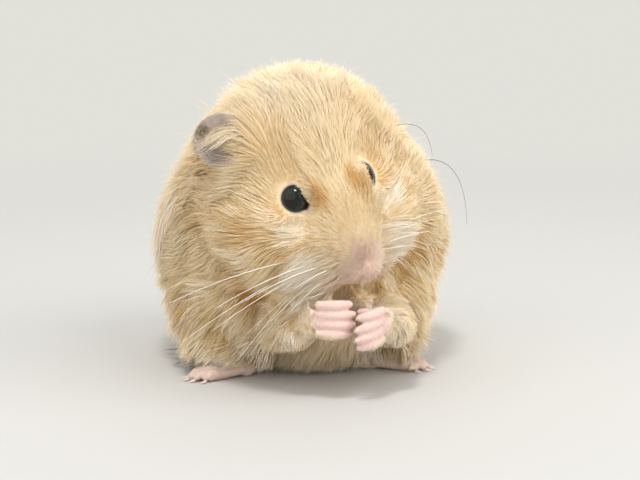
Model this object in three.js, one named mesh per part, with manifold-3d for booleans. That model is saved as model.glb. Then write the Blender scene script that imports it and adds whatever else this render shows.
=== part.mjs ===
// A life-size Syrian hamster that sits hunched on its haunches, its head bowed and turned to its
// left over both forepaws, which it holds together below its mouth.
// Millimetres, +Z up. It faces -Y with its left side at +X, and it rests on the plane Z = 0.
// Every solid reaches out to the tips of the coat. Neighbours keep a small gap.
import * as THREE from "three";
import { mergeVertices } from "three/addons/utils/BufferGeometryUtils.js";
import Module from "manifold-3d";

const wasm = await Module();
wasm.setup();

const vec = (x, y, z) => new THREE.Vector3(x, y, z);
const deg = THREE.MathUtils.degToRad;
const sides = { left: 1, right: -1 };

// ---- Driving dimensions ----

const gap = 0.3; // between neighbouring solids
const halfWidth = 34; // of the body at its widest
const bodyShift = 1.8; // of the body's middle to its left
const bodyHeight = 67.5; // from the floor to the top of the back
const widestAt = 29; // height of the widest girth

// The head's own frame starts between the eyes: +X to its left, -Y along the muzzle, +Z out of its brow.
const headAt = vec(-0.6, -29.5, 43);
const headTurn = new THREE.Euler(deg(41), deg(-18), deg(28), "ZXY");
const noseReach = 19.3; // from between the eyes to the tip of the nose
const noseDrop = 6; // of the nose's tip below the line of the eyes
const eyeRadius = 3.25;
const eyeSpread = 7.5; // of each eyeball's centre from the midline
const earLength = 13;
const earWidth = 12;
const earThickness = 1;

const fingerRadius = 0.97;
const fingerTip = fingerRadius * 0.9;
const fingerCount = 4;
const toeRadius = 0.95;
const toeTip = toeRadius * 0.85;
const toeCount = 5;
const clawRadius = 0.34;
const footLength = 15;
const tailRadius = 1.9;

const materials = {
  coat: new THREE.MeshStandardMaterial({ color: 0xe3c089, roughness: 0.9, metalness: 0 }),
  paleCoat: new THREE.MeshStandardMaterial({ color: 0xf0e2c6, roughness: 0.9, metalness: 0 }),
  bareSkin: new THREE.MeshStandardMaterial({ color: 0xe6b3a6, roughness: 0.6, metalness: 0 }),
  earSkin: new THREE.MeshStandardMaterial({ color: 0x8a8078, roughness: 0.7, metalness: 0 }),
  eye: new THREE.MeshStandardMaterial({ color: 0x0d0c0b, roughness: 0.08, metalness: 0 }),
  claw: new THREE.MeshStandardMaterial({ color: 0xead9c8, roughness: 0.4, metalness: 0 }),
};

// ---- Rounded forms, blended into one coat ----

const bodyFrame = new THREE.Matrix4();
const headFrame = new THREE.Matrix4().compose(
  headAt,
  new THREE.Quaternion().setFromEuler(headTurn),
  vec(1, 1, 1),
);
const inHead = (x, y, z) => vec(x, y, z).applyMatrix4(headFrame);

// An ellipsoid in a frame. blend is how far it melts into the forms before it.
function form(frame, at, radii, blend) {
  const toForm = frame.clone().multiply(new THREE.Matrix4().setPosition(at)).invert();
  return { toForm, radii, blend };
}

function bothSides(frame, at, radii, blend) {
  return Object.values(sides).map((s) => form(frame, vec(s * at.x, at.y, at.z), radii, blend));
}

const bodyForms = [
  form(bodyFrame, vec(bodyShift, 8, widestAt - 1), vec(halfWidth, 32, 29), 0),
  form(bodyFrame, vec(bodyShift, 10, bodyHeight - 31), vec(27, 27, 31), 5), // arched back
  form(bodyFrame, vec(bodyShift, 25, 24), vec(25.5, 18, 24.5), 6), // rump
  form(bodyFrame, vec(bodyShift, -10, 16.5), vec(22, 18, 16.2), 5), // chest and belly
  form(bodyFrame, vec(-3.5, -9, 48.5), vec(20, 19, 16.5), 6), // nape
  ...bothSides(bodyFrame, vec(15, -6, 36), vec(14.5, 17, 17), 5), // shoulders
  ...bothSides(bodyFrame, vec(17.5, 1, 14.5), vec(13, 21, 15), 4), // haunches
];

const headForms = [
  form(headFrame, vec(0, 13, -2.5), vec(17.5, 17, 13), 5), // crown
  form(headFrame, vec(0, -1, -4.8), vec(9.2, 15, 9.2), 3), // brow and bridge
  form(headFrame, vec(5.2, -3, 1.1), vec(3.2, 6, 3.9), 2), // tuft over the left eye
  form(headFrame, vec(0, -10.4, -noseDrop - 0.2), vec(6.6, 7.6, 5.6), 3), // muzzle
  form(headFrame, vec(0, -14.4, -noseDrop - 0.6), vec(4.9, 3.9, 4.2), 2), // snout
  ...bothSides(headFrame, vec(4.6, -10.4, -9.6), vec(4.8, 6, 4.6), 2), // whisker pads
  form(headFrame, vec(0, -7, -13.4), vec(4.4, 8, 4), 2), // chin and jaw
  ...bothSides(headFrame, vec(11.5, 2, -10.5), vec(11.5, 15, 12), 4), // cheeks
];
const allForms = [...bodyForms, ...headForms];
const eyeCentres = Object.values(sides).map((s) => inHead(s * eyeSpread, 0, 0));

const scratch = vec(0, 0, 0);
const scaled = vec(0, 0, 0);

// About how far a point lies outside an ellipsoid.
function distanceToForm(point, { toForm, radii }) {
  scratch.copy(point).applyMatrix4(toForm).divide(radii);
  const near = scratch.length();
  const slope = scaled.copy(scratch).divide(radii).length();
  return slope > 0 ? (near * (near - 1)) / slope : -Math.min(radii.x, radii.y, radii.z);
}

function smoothMin(a, b, blend) {
  const mix = Math.max(blend - Math.abs(a - b), 0) / blend;
  return Math.min(a, b) - (mix * mix * blend) / 4;
}

// The coat's outer face is where this is 0. It dips round each eye, where the hairs are shortest.
function coat(point) {
  const dimple = 1;
  let distance = Infinity;
  for (const f of allForms) {
    const d = distanceToForm(point, f);
    distance = f.blend ? smoothMin(distance, d, f.blend) : Math.min(distance, d);
  }
  for (const c of eyeCentres) {
    const away = point.distanceTo(c) / (eyeRadius * 1.75);
    distance += dimple * Math.exp(-away * away * away);
  }
  return distance;
}

// A ball whose corners are moved out from a centre until they meet the surface where field is 0.
function wrapped(centre, detail, field) {
  const geometry = new THREE.IcosahedronGeometry(1, detail);
  const position = geometry.getAttribute("position");
  const direction = vec(0, 0, 0);
  const probe = vec(0, 0, 0);
  const steps = 60;
  const caution = 0.8; // the share of the distance left that each step goes
  for (let i = 0; i < position.count; i++) {
    direction.fromBufferAttribute(position, i).normalize();
    probe.copy(centre);
    for (let n = 0; n < steps; n++) probe.addScaledVector(direction, -caution * field(probe));
    position.setXYZ(i, probe.x, probe.y, probe.z);
  }
  return geometry;
}

// ---- Solids, cuts and meshes ----

function solidFrom(geometry) {
  const bare = geometry.clone();
  bare.deleteAttribute("normal");
  bare.deleteAttribute("uv");
  const merged = mergeVertices(bare, 1e-3);
  return new wasm.Manifold(
    new wasm.Mesh({
      numProp: 3,
      vertProperties: merged.getAttribute("position").array,
      triVerts: new Uint32Array(merged.index.array),
    }),
  );
}

function geometryFrom(solid) {
  const { numProp, vertProperties, triVerts } = solid.getMesh();
  const corners = new Float32Array((vertProperties.length / numProp) * 3);
  for (let i = 0; i < corners.length / 3; i++)
    corners.set(vertProperties.subarray(i * numProp, i * numProp + 3), i * 3);
  const geometry = new THREE.BufferGeometry();
  geometry.setAttribute("position", new THREE.BufferAttribute(corners, 3));
  geometry.setIndex(new THREE.BufferAttribute(triVerts, 1));
  geometry.computeVertexNormals();
  return geometry;
}

// The largest body of a solid, without the crumbs that a cut can leave.
function largest(solid) {
  return solid.decompose().sort((a, b) => b.volume() - a.volume())[0];
}

function piece(name, solid, material) {
  const mesh = new THREE.Mesh(geometryFrom(largest(solid)), material);
  mesh.name = name;
  return mesh;
}

function moved(solid, matrix) {
  return solid.transform([...matrix.elements]);
}

function ellipsoid(at, radii, detail = 3, turn = [0, 0, 0]) {
  const geometry = new THREE.IcosahedronGeometry(1, detail);
  geometry.scale(radii.x, radii.y, radii.z);
  const spin = new THREE.Quaternion().setFromEuler(new THREE.Euler(...turn.map(deg)));
  geometry.applyQuaternion(spin);
  geometry.translate(at.x, at.y, at.z);
  return solidFrom(geometry);
}

// A huge block that fills the space on the side of a plane that its normal points to.
function halfSpace(through, normal, inset = 0) {
  const size = 300;
  const block = new THREE.BoxGeometry(size, size, size);
  block.translate(0, 0, size / 2 + inset);
  block.applyQuaternion(new THREE.Quaternion().setFromUnitVectors(vec(0, 0, 1), normal));
  block.translate(through.x, through.y, through.z);
  return solidFrom(block);
}

// A capsule bent along a curve, with a radius that changes along it. flat squeezes it along up.
function limb(curve, radii, extra = 0, shape = {}) {
  const { around = 8, rings = 3, ends = 2, up = vec(0, 0, 1), flat = 1 } = shape;
  const geometry = new THREE.CapsuleGeometry(1, 1, ends, around, rings);
  const position = geometry.getAttribute("position");
  for (let i = 0; i < position.count; i++) {
    const height = position.getY(i);
    const t = THREE.MathUtils.clamp(height + 0.5, 0, 1);
    const place = t * (radii.length - 1);
    const low = Math.min(Math.floor(place), radii.length - 2);
    const radius = THREE.MathUtils.lerp(radii[low], radii[low + 1], place - low) + extra;
    const tangent = curve.getTangent(t);
    const across = vec(0, 0, 0).crossVectors(tangent, up).normalize();
    const above = vec(0, 0, 0).crossVectors(across, tangent);
    const point = curve
      .getPoint(t)
      .addScaledVector(across, position.getX(i) * radius)
      .addScaledVector(above, position.getZ(i) * ((radius - extra) * flat + extra))
      .addScaledVector(tangent, (height + 0.5 - t) * radius);
    position.setXYZ(i, point.x, point.y, point.z);
  }
  return solidFrom(geometry);
}

const join = (solids) => solids.reduce((whole, s) => whole.add(s));
const bend = (...points) => new THREE.QuadraticBezierCurve3(...points);

// ---- Small parts. extra swells each one, to cut its own clear place in its neighbours. ----

const aboveFloor = halfSpace(vec(0, 0, 0), vec(0, 0, 1));

function eyeball(s, extra = 0) {
  const r = eyeRadius + extra;
  return moved(ellipsoid(vec(s * eyeSpread, 0, 0), vec(r, r, r), 2), headFrame);
}

function nosePad(extra = 0) {
  const radii = vec(2.9, 2, 2).addScalar(extra);
  return moved(ellipsoid(vec(0, radii.y - extra - noseReach, -noseDrop), radii, 1), headFrame);
}

// The lower jaw is what lies in this form of the coat under the muzzle.
const jawForm = (extra = 0) =>
  moved(ellipsoid(vec(0, -7.5, -18.6), vec(4.6, 9, 6.2).addScalar(extra), 2), headFrame);

// The right ear stands out sideways, and the left one is laid back along the nape.
const earPoses = {
  left: { root: vec(13.4, 11, 1.4), outwards: vec(0.2, 0.96, 0.14), facing: vec(0.9, -0.1, 0.4) },
  right: { root: vec(-12, 13, 2.2), outwards: vec(-0.8, 0.45, 0.4), facing: vec(-0.25, -0.62, 0.74) },
};

// A thin dished flap, its hollow towards the front.
function ear(name, extra = 0) {
  const { root } = earPoses[name];
  const outwards = earPoses[name].outwards.clone().normalize();
  const facing = earPoses[name].facing.clone();
  facing.addScaledVector(outwards, -facing.dot(outwards)).normalize();
  const along = vec(0, 0, 0).crossVectors(outwards, facing);
  const dish = 2.6;
  const geometry = new THREE.SphereGeometry(1, 16, 7);
  const position = geometry.getAttribute("position");
  const halfLength = earLength / 2;
  const halfWide = earWidth / 2;
  const swell = 1 + extra / halfWide;
  for (let i = 0; i < position.count; i++) {
    const x = position.getX(i) * swell;
    const z = position.getZ(i) * swell;
    const narrowed = 1 - 0.3 * Math.max(-x, 0);
    const rise = position.getY(i) * (earThickness / 2 + 1.5 * extra) + dish * (x * x + z * z - 0.5);
    const point = root
      .clone()
      .addScaledVector(outwards, (1 + x) * halfLength)
      .addScaledVector(along, z * halfWide * narrowed)
      .addScaledVector(facing, rise);
    position.setXYZ(i, point.x, point.y, point.z);
  }
  return moved(solidFrom(geometry), headFrame);
}

// Each foreleg runs from an elbow in the fur of the flank to a wrist below the chin.
const forelegs = {
  left: {
    elbow: vec(17, -19, 12),
    wrist: vec(8.6, -34.9, 16.8),
    palm: vec(7.1, -38, 17.4),
    tip: vec(4, -41.7, 15),
  },
  right: {
    elbow: vec(-11, -19, 12),
    wrist: vec(-3.8, -34.9, 17.2),
    palm: vec(-2.4, -38, 17.9),
    tip: vec(2.3, -39, 17.2),
  },
};

function foreleg({ elbow, wrist }, extra = 0) {
  const bulge = elbow.clone().lerp(wrist, 0.5).add(vec(0, -2, -1.5));
  return limb(bend(elbow, bulge, wrist), [6, 5.4, 4.6, 3], extra, { around: 10, rings: 4 });
}

// The fingers lie over each other in a stack, and bend round what the paw would hold.
function fingers({ palm, tip }) {
  const pitch = fingerRadius * 2 + 0.02;
  return Array.from({ length: fingerCount }, (_, i) => {
    const level = (fingerCount - 1) / 2 - i;
    const inner = Math.abs(level) < 1;
    const from = palm.clone().add(vec(0, 0, level * pitch * 0.85));
    const end = tip.clone().lerp(palm, inner ? 0 : 0.12).add(vec(0, 0, level * pitch));
    return bend(from, from.clone().lerp(end, 0.65).add(vec(0, -2.6, 0)), end);
  });
}

function forepaw(places, extra = 0) {
  const { palm, wrist, tip } = places;
  const s = Math.sign(palm.x);
  const radii = vec(2.5, 2.1, 3.2).addScalar(extra);
  const thumbEnd = palm.clone().lerp(tip, 0.35).add(vec(0, 1.6, 3.4));
  const thumb = bend(palm, palm.clone().add(vec(-s, 0.5, 3)), thumbEnd);
  return join([
    ellipsoid(palm, radii, 1),
    limb(bend(wrist, wrist.clone().lerp(palm, 0.5), palm), [2.2, 2.3], extra, { around: 7, rings: 1 }),
    limb(thumb, [1.1, 0.8], extra, { around: 5, rings: 2 }),
    ...fingers(places).map((curve) =>
      limb(curve, [fingerRadius, fingerRadius, fingerTip], extra, { around: 5, rings: 2 }),
    ),
  ]);
}

// Each hind foot is a long flat sole that points outwards, with five toes fanned at its end.
const hindFeet = {
  left: { tip: vec(25.4, -15.8, 0), heading: vec(0.92, -0.39, 0) },
  right: { tip: vec(-27.8, -14.4, 0), heading: vec(-0.97, -0.24, 0) },
};

function toes({ tip, heading }) {
  const across = vec(-heading.y, heading.x, 0);
  return Array.from({ length: toeCount }, (_, i) => {
    const fan = (i - (toeCount - 1) / 2) / ((toeCount - 1) / 2);
    const shortening = 2.6 * fan * fan;
    const knuckle = tip
      .clone()
      .addScaledVector(heading, -5.6 - 0.8 * shortening)
      .addScaledVector(across, fan * 2.5)
      .setZ(1.5);
    const end = tip
      .clone()
      .addScaledVector(heading, -1 - shortening)
      .addScaledVector(across, fan * 3.3)
      .setZ(0.76);
    return bend(knuckle, knuckle.clone().lerp(end, 0.5).setZ(1.3), end);
  });
}

// The sole, and the shank that rises from its heel into the haunch.
function sole({ tip, heading }, extra = 0) {
  const heel = tip.clone().addScaledVector(heading, 1 - footLength).setZ(1.7);
  const ball = tip.clone().addScaledVector(heading, -6.4).setZ(1.3);
  const arch = bend(heel, heel.clone().lerp(ball, 0.5).setZ(1.8), ball);
  const shank = bend(heel, heel.clone().setZ(4), heel.clone().addScaledVector(heading, 2).setZ(6));
  return [
    limb(arch, [2, 2.4, 3], extra, { around: 8, rings: 2, flat: 0.62 }),
    limb(shank, [2.2, 2.6], extra, { around: 7, rings: 1, up: heading }),
  ];
}

function hindFoot(places) {
  const digits = toes(places).map((curve) =>
    limb(curve, [toeRadius * 1.1, toeRadius, toeTip], 0, { around: 5, rings: 2 }),
  );
  return join([...sole(places), ...digits]).intersect(aboveFloor);
}

// The clear place of a hind foot in the fur over it.
function footPocket(places) {
  const knuckles = places.tip.clone().addScaledVector(places.heading, -5.4).setZ(1.6);
  return join([...sole(places, gap * 1.5), ellipsoid(knuckles, vec(4.4, 4.4, 2.2), 1)]);
}

// A small hooked claw that carries on past the end of a digit.
function claw(curve, digitRadius, length, droop) {
  const start = curve.getPoint(1);
  const ahead = curve.getTangent(1);
  const from = start.clone().addScaledVector(ahead, digitRadius + clawRadius + gap / 2);
  const middle = from.clone().addScaledVector(ahead, length * 0.6);
  const end = from.clone().addScaledVector(ahead, length).add(droop);
  const radii = [clawRadius, clawRadius * 0.8, clawRadius * 0.35];
  return limb(bend(from, middle, end), radii, 0, { around: 5, rings: 2, ends: 1 });
}

const tailCurve = bend(vec(bodyShift, 36, 9), vec(bodyShift, 42, 7), vec(bodyShift + 1, 46.5, 4.5));
const tail = (extra = 0) =>
  limb(tailCurve, [tailRadius, tailRadius * 0.8, tailRadius * 0.4], extra, { rings: 6 });

const haunchForm = (s, extra = 0) =>
  ellipsoid(vec(s * 26 + bodyShift, 7, 10.5), vec(15, 21, 14.5).addScalar(extra), 2, [0, 0, s * 8]);

// ---- Head, neck and trunk, parted by thin cuts ----

const nape = vec(-4.5, -16.5, 43); // a point on the cut behind the cheeks
const napeNormal = vec(0.3, -0.93, 0.21).normalize(); // towards the face
const throat = vec(0, 0, 22.5); // a point on the cut below the chin
const throatNormal = vec(0.04, -0.1, 1).normalize();
const neckLength = 8;
const cutMargin = 7; // by which a wrapped form runs on past a cut, so that the cut is clean

const beyond = (point, through, normal) => point.dot(normal) - through.dot(normal);
const pastNape = (point) => beyond(point, nape, napeNormal);
const pastThroat = (point) => beyond(point, throat, throatNormal);
const frontField = (p) => Math.max(coat(p), -pastNape(p) - cutMargin, -pastThroat(p) - cutMargin);

const aboveThroat = (inset) => halfSpace(throat, throatNormal, inset);
const belowThroat = halfSpace(throat, throatNormal.clone().negate(), gap / 2);
const beforeNape = (inset) => halfSpace(nape, napeNormal, inset);

function bigParts() {
  const small = Object.entries(sides).flatMap(([name, s]) => [eyeball(s, gap), ear(name, gap)]);
  const low = Object.keys(sides).flatMap((name) => [
    foreleg(forelegs[name], gap),
    footPocket(hindFeet[name]),
  ]);
  const head = solidFrom(wrapped(inHead(0, 3, -4), 8, frontField))
    .intersect(aboveThroat(gap / 2))
    .intersect(beforeNape(gap / 2));
  const whole = solidFrom(wrapped(vec(0, 6, 26), 7, coat));
  const neck = whole
    .intersect(aboveThroat(gap / 2))
    .intersect(beforeNape(gap / 2 - neckLength))
    .subtract(beforeNape(-gap / 2));
  const body = whole
    .intersect(aboveFloor)
    .subtract(aboveThroat(-gap / 2).intersect(beforeNape(-gap / 2 - neckLength)))
    .subtract(join([...low, tail(gap)]));
  const haunch = (s) => body.intersect(haunchForm(s));
  return {
    head: head.subtract(join([...small, nosePad(gap), jawForm(gap)])),
    lower_jaw: head.intersect(jawForm()),
    neck: neck.subtract(join(small)),
    trunk: body.subtract(join(Object.values(sides).map((s) => haunchForm(s, gap)))),
    hind_leg_left: haunch(sides.left),
    hind_leg_right: haunch(sides.right),
  };
}

// ---- The whole animal ----

const hamster = new THREE.Group();
for (const [name, solid] of Object.entries(bigParts()))
  hamster.add(piece(name, solid, materials.coat));

for (const [name, s] of Object.entries(sides)) {
  const arm = forelegs[name];
  const foot = hindFeet[name];
  const armSolid = foreleg(arm).intersect(belowThroat).subtract(forepaw(arm, gap));
  hamster.add(
    piece(`eye_${name}`, eyeball(s), materials.eye),
    piece(`ear_${name}`, ear(name), materials.earSkin),
    piece(`foreleg_${name}`, armSolid, materials.paleCoat),
    piece(`forepaw_${name}`, forepaw(arm), materials.bareSkin),
    piece(`hind_foot_${name}`, hindFoot(foot), materials.bareSkin),
  );
  fingers(arm).forEach((curve, i) => {
    const solid = claw(curve, fingerTip, 1, vec(0, 0.5, -0.2));
    hamster.add(piece(`finger_claw_${name}_${i + 1}`, solid, materials.claw));
  });
  toes(foot).forEach((curve, i) => {
    const solid = claw(curve, toeTip, 1.3, vec(0, 0, 0.25));
    hamster.add(piece(`toe_claw_${name}_${i + 1}`, solid, materials.claw));
  });
}
hamster.add(piece("nose", nosePad(), materials.bareSkin), piece("tail", tail(), materials.bareSkin));

// The origin is below the middle of the whole, on the plane that it rests on.
const box = new THREE.Box3().setFromObject(hamster, true);
const middle = box.getCenter(vec(0, 0, 0));
hamster.position.set(-middle.x, -middle.y, -box.min.z);

export default hamster;
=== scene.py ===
import math

import bmesh
import bpy
import numpy as np
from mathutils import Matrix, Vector
from mathutils.bvhtree import BVHTree
from mathutils.kdtree import KDTree


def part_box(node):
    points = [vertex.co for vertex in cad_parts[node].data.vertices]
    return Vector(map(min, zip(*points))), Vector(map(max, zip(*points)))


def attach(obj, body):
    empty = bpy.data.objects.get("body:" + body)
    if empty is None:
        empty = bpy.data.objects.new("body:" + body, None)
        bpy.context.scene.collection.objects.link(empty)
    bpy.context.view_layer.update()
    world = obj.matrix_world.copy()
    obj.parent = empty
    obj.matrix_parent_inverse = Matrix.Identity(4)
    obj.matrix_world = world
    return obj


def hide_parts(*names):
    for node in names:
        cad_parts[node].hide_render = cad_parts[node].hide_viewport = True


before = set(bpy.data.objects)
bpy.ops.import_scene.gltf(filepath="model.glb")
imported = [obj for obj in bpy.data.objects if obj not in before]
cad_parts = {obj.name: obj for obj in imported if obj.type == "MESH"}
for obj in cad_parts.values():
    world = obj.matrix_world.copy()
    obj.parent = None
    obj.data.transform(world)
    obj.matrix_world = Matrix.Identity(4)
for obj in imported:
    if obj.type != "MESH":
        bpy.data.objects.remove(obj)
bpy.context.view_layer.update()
print("frame loaded")

# Shapes are worked out in millimetres and scaled to metres when a mesh is made.
mm = 0.001
dice = np.random.default_rng(7)
sides = {"left": 1, "right": -1}


def vec(*xyz):
    return np.array(xyz, float)


def unit(v):
    return v / np.maximum(np.linalg.norm(v, axis=-1, keepdims=True), 1e-9)


def dot(a, b):
    return (a * b).sum(-1)


def centreOf(node):
    low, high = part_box(node)
    return np.array((low + high) / 2) / mm


def boxOf(node):
    return [np.array(corner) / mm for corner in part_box(node)]


def waves(points, size, seed, count=12):
    # smooth random values about 0, whose hills are about this many millimetres across
    own = np.random.default_rng(seed)
    directions = unit(own.normal(size=(count, 3)))
    phases = own.uniform(0, 2 * math.pi, count)
    return np.sin(points @ directions.T * (math.pi / size) + phases).sum(1) / math.sqrt(count / 2)


def ramp(x, low, high):
    # rises smoothly from 0 at low to 1 at high
    t = np.clip((x - low) / (high - low), 0, 1)
    return t * t * (3 - 2 * t)


# where things are: the head has its own axes, found from the eyes and the nose
eyeAt = {side: centreOf("eye_" + side) for side in sides}
eyeRadius = (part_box("eye_left")[1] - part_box("eye_left")[0]).x / 2 / mm
noseAt = centreOf("nose")
browAt = (eyeAt["left"] + eyeAt["right"]) / 2
noseDrop, noseReach = 6, 16.9  # of the nose's middle below and in front of the eyes
noseDip = math.atan2(noseDrop, noseReach)

headLeft = unit(eyeAt["left"] - eyeAt["right"])
toNose = unit(noseAt - browAt)
square = np.cross(headLeft, -toNose)
headFront = math.cos(noseDip) * toNose + math.sin(noseDip) * square
headUp = math.cos(noseDip) * square - math.sin(noseDip) * toNose
headAxes = np.stack([headLeft, -headFront, headUp])


def toHead(points):
    return (points - browAt) @ headAxes.T


def toHalfHead(points):
    # the same with the right half mirrored to the left
    place = toHead(points)
    place[:, 0] = np.abs(place[:, 0])
    return place


def headSide(points):
    # 1 on the head's left half and -1 on its right
    return np.where(toHead(points)[:, 0] > 0, 1, -1)[:, None]


def fromHead(*xyz):
    return browAt + vec(*xyz) @ headAxes


# meshes as plain arrays of points and faces
def nodeShape(node, swell=0.0):
    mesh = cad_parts[node].data
    mesh.calc_loop_triangles()
    points = np.empty(len(mesh.vertices) * 3)
    mesh.vertices.foreach_get("co", points)
    corners = np.empty(len(mesh.loop_triangles) * 3, int)
    mesh.loop_triangles.foreach_get("vertices", corners)
    points = points.reshape(-1, 3) / mm
    _, first, same = np.unique(points.round(3), axis=0, return_index=True, return_inverse=True)
    points, faces = points[first], same.ravel()[corners].reshape(-1, 3)
    return points + swell * normalsOf(points, faces), faces


def normalsOf(points, faces):
    a, b, c = (points[faces[:, i]] for i in range(3))
    flat = np.cross(b - a, c - a)
    if faces.shape[1] == 4:
        flat = np.cross(c - a, points[faces[:, 3]] - b)
    summed = np.zeros_like(points)
    for corner in faces.T:
        for axis in range(3):
            summed[:, axis] += np.bincount(corner, flat[:, axis], len(points))
    return unit(summed)


def joined(shapes):
    points, faces, start = [], [], 0
    for p, f in shapes:
        points.append(p)
        faces.append(f + start)
        start += len(p)
    return np.concatenate(points), np.concatenate(faces)


def meshOf(name, points, faces):
    mesh = bpy.data.meshes.new(name)
    mesh.from_pydata(points.tolist(), [], faces.tolist())
    mesh.update()
    return mesh


def smoothed(mesh):
    mesh.polygons.foreach_set("use_smooth", np.ones(len(mesh.polygons), bool))
    return mesh


def objectOf(name, mesh):
    thing = bpy.data.objects.new(name, mesh)
    bpy.context.scene.collection.objects.link(thing)
    return thing


def changed(points, faces, kind, **settings):
    # the same shape after one modifier
    thing = objectOf("work", meshOf("work", points, faces))
    modifier = thing.modifiers.new("work", kind)
    for key, value in settings.items():
        setattr(modifier, key, value)
    evaluated = thing.evaluated_get(bpy.context.evaluated_depsgraph_get())
    mesh = bpy.data.meshes.new_from_object(evaluated)
    bpy.data.objects.remove(thing)
    return mesh


def shapeOf(mesh, corners):
    # its points, and its faces with that many corners each
    points = np.empty(len(mesh.vertices) * 3)
    mesh.vertices.foreach_get("co", points)
    faces = np.empty(len(mesh.loops), int)
    mesh.loops.foreach_get("vertex_index", faces)
    return points.reshape(-1, 3), faces.reshape(-1, corners)


def halved(quads):
    return np.concatenate([quads[:, [0, 1, 2]], quads[:, [0, 2, 3]]])


def revoxelled(points, faces, size):
    return shapeOf(changed(points, faces, "REMESH", mode="VOXEL", voxel_size=size), 4)


def relaxed(points, faces, rounds, pull=0.5):
    # each point moves towards the middle of its neighbours
    around = np.concatenate([faces, np.roll(faces, 1, axis=1)])
    start = around[:, : faces.shape[1]].ravel()
    end = np.roll(around, 1, axis=1).ravel()
    count = np.bincount(start, minlength=len(points))[:, None]
    for _ in range(rounds):
        mean = np.stack([np.bincount(start, points[end, i], len(points)) for i in range(3)], 1)
        points = points + pull * (mean / np.maximum(count, 1) - points)
    return points


def curveThrough(start, bend, end, count):
    t = np.linspace(0, 1, count)[:, None]
    return (1 - t) ** 2 * start + 2 * t * (1 - t) * bend + t * t * end


def closedRings(count, around):
    # the faces of a closed tube along a closed line
    return np.array([(i * around + j, i * around + (j + 1) % around,
                      (i + 1) % count * around + (j + 1) % around, (i + 1) % count * around + j)
                     for i in range(count) for j in range(around)])


def tubeShape(points, radii, around=14, flat=1.0):
    # a round-ended tube; flat squeezes it upright
    points, radii = np.array(points, float), np.array(radii, float)
    along = unit(np.gradient(points, axis=0))
    across = unit(np.cross(along, vec(0, 0, 1) if abs(along[0][2]) < 0.9 else vec(0, 1, 0)))
    above = np.cross(across, along)
    caps = np.sin(np.linspace(0.25, 1, 3) * math.pi / 2)
    starts = [(points[0] - along[0] * radii[0] * math.sqrt(1 - c * c), 0, radii[0] * c) for c in caps]
    ends = [(points[-1] + along[-1] * radii[-1] * math.sqrt(1 - c * c), -1, radii[-1] * c) for c in caps]
    middles = [(points[i], i, radii[i]) for i in range(1, len(points) - 1)]
    rings = []
    angles = np.linspace(0, 2 * math.pi, around, endpoint=False)[:, None]
    for centre, i, radius in starts + middles + ends[::-1]:
        rings.append(centre + radius * (np.cos(angles) * across[i] + flat * np.sin(angles) * above[i]))
    shape = np.concatenate(rings + [starts[0][0][None], ends[0][0][None]])
    faces, last = [], (len(rings) - 1) * around
    for i in range(around):
        j = (i + 1) % around
        faces += [(r * around + a, r * around + b, r * around + c) for r in range(len(rings) - 1)
                  for a, b, c in ((i, j, around + j), (i, around + j, around + i))]
        faces += [(len(shape) - 2, j, i), (len(shape) - 1, last + i, last + j)]
    return shape, np.array(faces)


# skin: it lies inside the flesh nodes by the depth of the coat
coat = {
    "bodyDepth": 4.8,
    "crownDepth": 3.2,
    "muzzleDepth": 0.5,
    "headDeepens": (5, 30),  # this far from the nose
    "bodyDeepens": (30, 44),
    "lessOnBridge": 0.45,
    "closeGaps": 0.35,
    "fillPockets": 2.0,
    "coarseVoxel": 0.65,
    "fineVoxel": 0.24,
    "smoothRounds": 520,
    "mostFilled": [6.0, 3.0],  # of a crease, in each of two turns
    "filled": {"nose": (20, 29), "floor": (9, 16), "limbs": (7, 12)},  # away from these
    "shownShare": 0.36,  # of the fine faces that the piece itself keeps
}
pawNodes = ["forepaw_left", "forepaw_right"]
footNodes = ["hind_foot_left", "hind_foot_right"]
earNodes = ["ear_left", "ear_right"]
furredNodes = ["trunk", "neck", "head", "lower_jaw", "hind_leg_left", "hind_leg_right"]
armNodes = ["foreleg_left", "foreleg_right"]


def distanceTo(points, centres):
    # to the nearest of a few points
    return np.min([np.linalg.norm(points - c, axis=1) for c in centres], axis=0)


def distanceToNodes(points, nodes):
    return distanceTo(points, [centreOf(n) for n in nodes])


def distanceToBoth(points, lineOf):
    # to the nearer of a left and a right line
    return np.min([distanceTo(points, lineOf(s)) for s in sides], axis=0)


def noseDistance(points):
    return np.linalg.norm(points - noseAt, axis=1)


def eyeDistance(points):
    return distanceTo(points, eyeAt.values()) - eyeRadius


def footLine(side):
    # from the heel to the toes of a hind foot
    toes = np.mean([centreOf(f"toe_claw_{side}_{i}") for i in (2, 3, 4)], axis=0)
    middle = centreOf("hind_foot_" + side)
    heel = middle + (middle - toes) * 0.55
    return np.linspace(heel * vec(1, 1, 0), toes * vec(1, 1, 0), 6) + vec(0, 0, 1)


def armLine(side):
    # down the foreleg to the paw
    return np.linspace(centreOf("foreleg_" + side), centreOf("forepaw_" + side), 6)


def tailLine():
    # from the rump down to the tail's tip
    low, high = boxOf("tail")
    middle = (low[0] + high[0]) / 2
    return np.linspace(vec(middle, low[1], high[2] - 1.8), vec(middle, high[1], low[2] + 1.2), 6)


# parts of the head's upper side: where each starts and ends to fade, in the head's axes
bridge = {"sideways": (2.6, 5.8), "backwards": (-3, 7), "upwards": (-9.5, -5)}
brow = {"sideways": (9, 20), "backwards": (11, 29), "upwards": (-3, 3)}


def topShare(points, fades):
    place = toHead(points)
    sideways = 1 - ramp(np.abs(place[:, 0]), *fades["sideways"])
    return sideways * (1 - ramp(place[:, 1], *fades["backwards"])) * ramp(place[:, 2], *fades["upwards"])


def velvetShare(points):
    # the bridge, brow and crown, whose coat is even
    return np.maximum(topShare(points, bridge), topShare(points, brow))


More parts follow.
